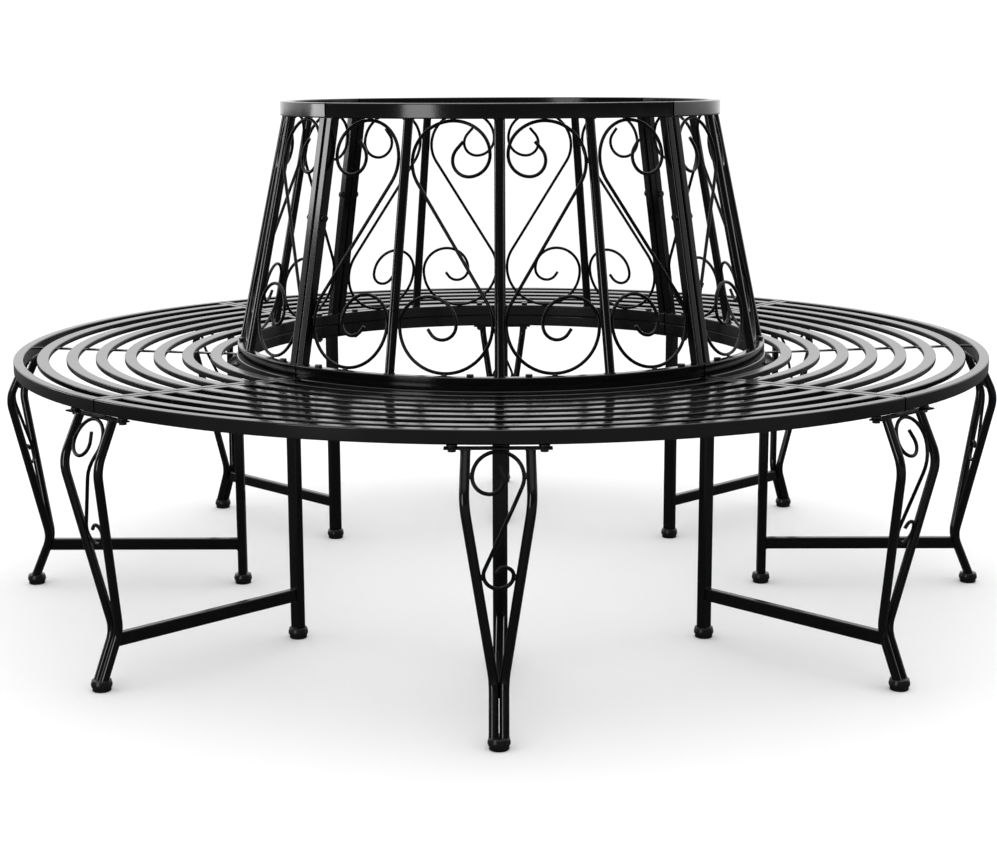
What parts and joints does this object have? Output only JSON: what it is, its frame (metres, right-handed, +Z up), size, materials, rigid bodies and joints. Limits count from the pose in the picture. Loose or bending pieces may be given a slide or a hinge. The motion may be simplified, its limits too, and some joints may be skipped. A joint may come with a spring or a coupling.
{
  "type": "tree bench",
  "caption": "Round steel garden bench that encloses a tree trunk, with curved slats, a tapering scrollwork backrest and bent tube legs",
  "frame": {"origin": "centre of the ring, on the floor under the foot caps", "axes": "+Z up along the tree trunk, -Y towards the picture's viewer through the middle of the front quarter, +X to the viewer's right"},
  "size_m": [1.5998, 1.5998, 0.794],
  "materials": {
    "painted_steel": "satin",
    "bolts": "satin",
    "caps": "matte"
  },
  "bodies": {
    "root": {"seat_outer_rim_front": "painted_steel", "seat_inner_rim_front": "painted_steel", "seat_slats_front": "painted_steel", "seat_radial_bars_front": "painted_steel", "back_top_band_front": "painted_steel", "back_bottom_ring_front": "painted_steel", "back_posts_front": "painted_steel", "back_scrolls_front": "painted_steel", "seat_outer_rim_right": "painted_steel", "seat_inner_rim_right": "painted_steel", "seat_slats_right": "painted_steel", "seat_radial_bars_right": "painted_steel", "back_top_band_right": "painted_steel", "back_bottom_ring_right": "painted_steel", "back_posts_right": "painted_steel", "back_scrolls_right": "painted_steel", "seat_outer_rim_back": "painted_steel", "seat_inner_rim_back": "painted_steel", "seat_slats_back": "painted_steel", "seat_radial_bars_back": "painted_steel", "back_top_band_back": "painted_steel", "back_bottom_ring_back": "painted_steel", "back_posts_back": "painted_steel", "back_scrolls_back": "painted_steel", "seat_outer_rim_left": "painted_steel", "seat_inner_rim_left": "painted_steel", "seat_slats_left": "painted_steel", "seat_radial_bars_left": "painted_steel", "back_top_band_left": "painted_steel", "back_bottom_ring_left": "painted_steel", "back_posts_left": "painted_steel", "back_scrolls_left": "painted_steel", "leg_outer_tubes_front": "painted_steel", "leg_inner_post_front": "painted_steel", "leg_outer_tubes_front_right": "painted_steel", "leg_inner_post_front_right": "painted_steel", "leg_outer_tubes_right": "painted_steel", "leg_inner_post_right": "painted_steel", "leg_outer_tubes_back_right": "painted_steel", "leg_inner_post_back_right": "painted_steel", "leg_outer_tubes_back": "painted_steel", "leg_inner_post_back": "painted_steel", "leg_outer_tubes_back_left": "painted_steel", "leg_inner_post_back_left": "painted_steel", "leg_outer_tubes_left": "painted_steel", "leg_inner_post_left": "painted_steel", "leg_outer_tubes_front_left": "painted_steel", "leg_inner_post_front_left": "painted_steel", "leg_stretchers": "painted_steel", "leg_scrolls": "painted_steel", "leg_outer_plates": "painted_steel", "leg_inner_plates": "painted_steel", "rim_spacers": "bolts", "rim_bolts": "bolts", "ring_bolts": "bolts", "ring_nuts": "bolts", "tie_bolts": "bolts", "tie_nuts": "bolts", "foot_caps": "caps"}
  },
  "joints": []
}
